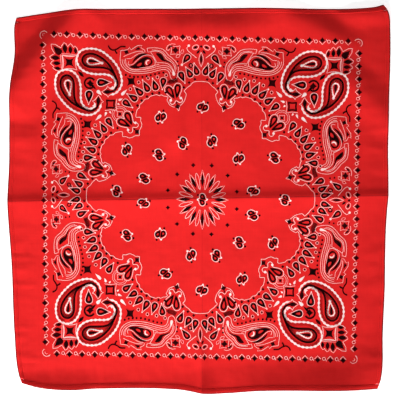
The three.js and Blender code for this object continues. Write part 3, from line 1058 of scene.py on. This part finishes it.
EYE_BELLY = [(109.6, 29.0), (109.6, 36.6), (111.6, 43.0), (116.4, 48.6), (123.0, 52.2), (131.0, 53.6),
             (141.6, 53.2), (152.6, 51.4), (162.6, 48.6), (170.6, 47.2), (175.8, 49.0), (178.4, 54.0),
             (179.6, 58.8), (183.4, 62.0), (187.6, 60.0), (189.6, 54.0)]
EYE_BACK = [(189.6, 54.0), (190.2, 46.2), (188.8, 40.0), (185.4, 35.0), (180.8, 30.8), (176.0, 27.0),
            (172.6, 22.8), (168.2, 19.2), (161.0, 17.6), (153.0, 17.4), (146.6, 18.2)]
eye_belly, eye_back = curve(EYE_BELLY), curve(EYE_BACK)
eye = [
    stroke("white", eye_belly, 1.2),
    stroke("white", eye_back, 1.2),
    *echoes(eye_belly, (2.8, 5.5), 1.0, 0.05, 0.80),
    *echoes(eye_belly, (8.0,), 1.0, 0.22, 0.66),
    *echoes(eye_back, (3.2,), 1.0, 0.10, 0.90),
    stroke("white", [(146.6, 18.2), (148.0, 23.4), (151.4, 23.0), (156.4, 30.4), (160.4, 38.2)], 1.2),
    stroke("white", curve([(151.4, 23.0), (158.6, 21.8), (166.0, 23.6), (170.4, 28.0), (174.0, 33.0),
                           (181.0, 37.4), (184.6, 43.0), (186.0, 50.0)]), 1.2),
    stroke("white", curve([(160.4, 38.2), (168.0, 38.0), (175.4, 39.4), (180.4, 43.6), (183.2, 49.6)]),
           1.2),
    blot("white", drop((182.4, 46.0), (184.0, 54.0), 1.9)),
    blot("black", curve([(159.0, 25.4), (164.6, 25.2), (168.6, 28.8), (170.8, 33.2), (175.6, 35.4),
                         (181.0, 39.0), (174.0, 36.6), (167.4, 35.0), (163.8, 31.6)], closed=True)),
    blot("black",
         curve([(122.4, 44.2), (127.8, 41.8), (133.6, 36.6), (140.0, 31.8), (147.0, 30.2), (152.6, 33.0),
                (154.4, 38.0), (150.8, 42.0), (144.0, 43.8), (135.6, 45.8), (128.6, 46.2)], closed=True),
         curve([(132.4, 42.4), (136.0, 39.0), (139.4, 38.6), (138.6, 41.6), (135.6, 43.2)], closed=True),
         curve([(143.6, 36.6), (147.0, 33.4), (151.0, 34.0), (152.0, 37.0), (150.0, 40.0), (147.0, 42.2),
                (143.6, 41.6)], closed=True)),
    swelling("white", [(149.6, 34.8), (147.0, 35.4), (145.6, 37.6), (145.8, 39.8), (147.2, 40.8)], 1.6,
             4.6),
    stroke("white", curve([(121.4, 36.6), (120.6, 41.0), (124.0, 41.6), (128.6, 39.6), (134.4, 33.6),
                           (140.8, 29.0), (147.6, 27.4), (154.6, 30.0), (158.0, 36.6), (157.4, 41.8)]),
                           1.2),
    stroke("white", curve([(117.0, 33.0), (117.6, 39.6), (121.0, 45.0), (127.4, 48.4), (137.0, 48.2),
                           (147.4, 46.0), (157.4, 41.8)]), 1.1),
    swelling("black", [(126.4, 38.4), (130.4, 33.4), (135.6, 29.4), (141.2, 26.8), (147.0, 26.2)], 0.7,
             2.8),
    stroke("white", [(109.8, 29.0), (110.4, 21.8), (119.6, 20.6), (122.4, 17.4), (124.4, 20.6),
                     (133.4, 14.6), (139.6, 14.2), (138.2, 17.6), (143.4, 20.6), (143.8, 23.6)], 1.2),
    stroke("white", curve([(114.4, 30.0), (120.0, 27.4), (127.0, 24.6), (134.0, 22.6), (141.4, 22.4)]),
           1.2),
    stroke("white", curve([(118.4, 33.0), (124.6, 32.4), (129.6, 29.0), (136.0, 25.4), (142.6, 24.4)]),
           1.1),
    blot("black", star(118.2, 24.0, 3.6, 20, waist=0.55)),
    blot("black", [(129.6, 20.8), (134.6, 16.6), (138.0, 19.6), (135.0, 20.4)]),
]
eye_dots = curve([(117.4, 55.6), (124.0, 57.4), (131.0, 58.0), (141.0, 58.0), (152.0, 55.6), (162.0, 52.8),
                  (171.0, 51.6)], step=0.5)
eye += [blot("black", oval(*eye_dots[i], 1.5)) for i in range(0, len(eye_dots), 12)]
corner += across_diagonal(eye)
# The screen laid these outer drawings 2.4% wider than the border's plan, and leaning a little.
SCREEN_STRETCH = np.array([(1.024, 0.012), (0.0045, 1.024)])
SCREEN_SLIP = (0.2, -1.1)
printed += [(ink, points @ SCREEN_STRETCH + SCREEN_SLIP, faces)
            for ink, points, faces in in_quarters(from_corner(corner))]
print("corner:", len(corner), "marks, four times")

# %% [markdown]
# ## The middle of each side
# A small fan closes the chain of lobes at the middle of each side: a black lance with a white
# edge, two white-edged ovals, and a scroll with a knob on each hand.

# %% Side fan
# In mm from the middle of the side: along it, and in from the border.
fan_side = [
    blot("black", leaf((2.0, 13.6), (7.0, 19.6), 3.2)),
    stroke("white", oval(8.6, 9.8, 5.0, 3.4, 24), 1.4, closed=True),
    blot("black", oval(8.6, 9.8, 3.0, 1.7, 24)),
    stroke("white", curve([(18.6, 7.6), (21.4, 11.0), (19.4, 15.4), (14.6, 19.8), (10.0, 23.4),
                           (7.0, 26.0)]), 1.6),
    blot("white", oval(18.6, 7.4, 1.9)),
    *seed((29.0, 37.4), (20.4, 25.0), 5.0, blob=1.8),
    stroke("white", star(37.8, 14.8, 9.8, 45, waist=0.46), 1.1, closed=True),
    blot("black", star(37.8, 14.6, 5.6, 0, waist=0.4)),
    stroke("white", curve([(38.0, 5.8), (43.0, 5.2), (48.6, 8.2), (50.6, 13.6), (48.0, 15.4),
                           (46.2, 13.0)]), 1.3),
    blot("black", curve([(41.4, 8.6), (45.4, 8.2), (48.4, 11.2), (47.6, 13.4), (45.0, 10.6)],
                        closed=True)),
    stroke("white", leaf((31.4, 21.4), (37.0, 25.8), 4.2), 0.8, closed=True),
    stroke("white", leaf((26.6, 13.4), (29.6, 20.0), 3.8), 0.8, closed=True),
    stroke("black", oval(15.8, 37.6, 2.4, 3.0), 1.3, closed=True),
    blot("black", oval(34.6, 31.6, 1.4)),
    blot("black", oval(33.8, 38.4, 1.4)),
]
fan = [
    blot("black", leaf((0, 20.6), (0, 35.0), 3.6)),
    stroke("white", leaf((0, 17.0), (0, 39.4), 6.6), 1.4, closed=True),
    blot("black", star(0, 8.6, 2.4, waist=0.6)),
    *fan_side,
    *moved(fan_side, wide=-1),
]
# The distance to the border, the turn, how far in the fan starts, and how deep it is drawn.
FANS = [
    (PRINT_Y, 0, 3.2, 0.93), (PRINT_X, 90, 4.3, 0.8), (PRINT_Y, 180, 4.0, 0.95),
    (PRINT_X, 270, 2.1, 0.93)]
for half_width, turn, inset, depth in FANS:
    printed += moved(moved(fan, 0, half_width - inset, high=-depth), turn=turn)
print("the print has", len(printed), "marks")

# %% [markdown]
# ## Two films of ink
# Screen ink soaks into cotton and stays as a thin skin on the upper threads. All white marks
# become one film and all black marks a second one over it, each a tenth of a millimetre over the
# cloth. Long faces are divided first, so the film bends with every fold.

# %% The inks' materials
def screen_ink(name, ground, worn, share, shine):
    """Matt ink, which the tops of the threads carry: the weave shows in its bump, and in patches the ink
    is thin and the cloth shows through.
    """
    tree, output, material = new_material(name)
    place = add(tree, "ShaderNodeTexCoord", {}).outputs["Object"]
    cloth = weave(tree, place)
    patches = add(tree, "ShaderNodeTexNoise", {"Vector": place, "Scale": 1 / (6 * MM), "Detail": 2.0})
    thin = add(tree, "ShaderNodeMapRange", {
        "Value": patches.outputs["Fac"], "From Min": 0.35, "From Max": 0.75, "To Max": share})
    colour = add(tree, "ShaderNodeMix", {
        0: thin.outputs[0], 6: linear(ground), 7: linear(worn)}, data_type="RGBA")
    bump = add(tree, "ShaderNodeBump", {"Height": cloth, "Strength": 0.12, "Distance": 0.2 * MM})
    shader = add(tree, "ShaderNodeBsdfPrincipled", {
        "Base Color": colour.outputs[2], "Roughness": 0.85, "Normal": bump.outputs[0],
        "Specular IOR Level": shine, "IOR": 1.5})
    tree.links.new(shader.outputs[0], output.inputs["Surface"])
    return material


white_ink = screen_ink("white screen ink", "#F6E0DC", "#E88C90", 0.5, 0.12)
black_ink = screen_ink("black screen ink", "#0A0202", "#420309", 0.7, 0.03)

# %% The films
# In mm: the longest edge of a film's faces, and the longest near a crease of the pattern.
FACE_LIMIT = 3.4
CREASE_FACE_LIMIT = 1.7
CREASE_ZONE = 9.0
LEVEL_CREASE_Y = -1.3
UPRIGHT_CREASE_X = 2.0
UPRIGHT_CREASE_TOP = -160.0
EVERYWHERE = 1000.0
SLIVER_AREA = 1e-6
INK_UP = {"white": 0.10, "black": 0.20}
MARK_STEP, MARK_STEPS = 0.01, 7


def near_crease(vertex, zone):
    x, y = vertex.co.x, vertex.co.y
    beside = abs(x - UPRIGHT_CREASE_X) < zone and y < UPRIGHT_CREASE_TOP
    return abs(y - LEVEL_CREASE_Y) < zone or beside


def divided(points, faces):
    """Triangles with no long edges: shorter still beside the creases."""
    net = bmesh.new()
    vertices = [net.verts.new(point) for point in points]
    for face in faces:
        net.faces.new([vertices[i] for i in face])
    bmesh.ops.triangulate(net, faces=net.faces[:])
    for limit, zone in ((FACE_LIMIT, EVERYWHERE), (CREASE_FACE_LIMIT, CREASE_ZONE)):
        for _ in range(4):
            long = [edge for edge in net.edges if edge.calc_length() > limit
                    and any(near_crease(end, zone) for end in edge.verts)]
            if not long:
                break
            bmesh.ops.subdivide_edges(net, edges=long, cuts=1, use_grid_fill=False)
            bmesh.ops.triangulate(net, faces=net.faces[:])
    slivers = [face for face in net.faces if face.calc_area() < SLIVER_AREA]
    bmesh.ops.delete(net, geom=slivers, context="FACES_ONLY")
    for face in net.faces:
        if face.normal.z < 0:
            face.normal_flip()
    net.verts.index_update()
    flat = np.array([vertex.co[:] for vertex in net.verts])
    triangles = [[vertex.index for vertex in face.verts] for face in net.faces]
    net.free()
    return flat, triangles


def make_film(ink, material, name):
    """All the marks of one ink, as one thin film on the cloth."""
    points, faces, count = [], [], 0
    marks = [(mark_points, mark_faces) for mark_ink, mark_points, mark_faces in printed if mark_ink == ink]
    for i, (mark_points, mark_faces) in enumerate(marks):
        # Marks that cross lie a hair apart, so that no two faces share one plane.
        up = np.full(len(mark_points), i % MARK_STEPS * MARK_STEP)
        points.append(np.column_stack([mark_points, up]))
        faces += (np.asarray(mark_faces) + count).tolist()
        count += len(mark_points)
    flat, triangles = divided(np.concatenate(points), faces)
    up = CLOTH_TOP + INK_UP[ink] + flat[:, 2]
    film = new_piece(name, in_frame(lay(flat[:, :2]), up), triangles, material, [])
    print(name, len(triangles), "triangles")
    return film


white_film = make_film("white", white_ink, "white_ink")
black_film = make_film("black", black_ink, "black_ink")

# %% [markdown]
# ## Floor, light and camera
# A flat thing is easiest to judge from straight above, on white, with one soft raking light
# from the near side that draws the creases and a broad even light that keeps the red clean.
# The floor runs out to a low round wall of the same white paper, so no dark horizon shows from
# the side. The camera stands well back with a long lens, so the sides stay parallel.

# %% Floor and wall of white paper
FLOOR_SIZE = 16.0
WALL_HEIGHT = 2.4
bpy.ops.mesh.primitive_plane_add(size=FLOOR_SIZE)
floor = bpy.context.object
floor.name = "studio_floor"
bpy.ops.mesh.primitive_cylinder_add(
    radius=FLOOR_SIZE / 2, depth=WALL_HEIGHT, vertices=96, end_fill_type="NOTHING",
    location=(0, 0, WALL_HEIGHT / 2))
wall = bpy.context.object
wall.name = "studio_wall"
tree, output, paper = new_material("white studio paper")
shader = add(tree, "ShaderNodeBsdfPrincipled", {
    "Base Color": linear("#F4F4F4"), "Roughness": 0.9, "Emission Color": linear("#FFFFFF"),
    "Emission Strength": 0.64})
tree.links.new(shader.outputs[0], output.inputs["Surface"])
for backdrop in (floor, wall):
    backdrop.data.materials.append(paper)

# %% Lights
def add_light(name, place, size, watts, aim=(0, 0, 0), spread=180.0):
    """A square soft box that faces a point. A grid in front of it narrows its spread, in degrees."""
    lamp = bpy.data.lights.new(name, "AREA")
    lamp.shape, lamp.size, lamp.energy = "SQUARE", size, watts
    lamp.spread = math.radians(spread)
    light = bpy.data.objects.new(name, lamp)
    bpy.context.scene.collection.objects.link(light)
    light.location = place
    light.rotation_euler = (Vector(aim) - Vector(place)).to_track_quat("-Z", "Y").to_euler()
    return light


add_light("raking soft box", (-0.30, -2.28, 0.66), 0.6, 11, aim=(-0.08, -0.02, 0), spread=50)
add_light("overhead soft box", (-0.05, -0.04, 2.6), 0.6, 1.0, aim=(-0.05, -0.04, 0), spread=28)
world = bpy.data.worlds.new("studio")
world.use_nodes = True
world.node_tree.nodes["Background"].inputs["Color"].default_value = linear("#FFFFFF")
world.node_tree.nodes["Background"].inputs["Strength"].default_value = 0.02
bpy.context.scene.world = world
bpy.context.scene.view_settings.view_transform = "Standard"

# %% Camera
CAMERA_HEIGHT = 2.0
VIEW_WIDTH = 0.576
SENSOR = 36.0
camera_data = bpy.data.cameras.new("camera above")
camera_data.sensor_width = SENSOR
camera_data.lens = SENSOR * CAMERA_HEIGHT / VIEW_WIDTH
camera = bpy.data.objects.new("camera above", camera_data)
camera.location = (0.0014, -0.0014, CAMERA_HEIGHT)
bpy.context.scene.collection.objects.link(camera)
bpy.context.scene.camera = camera
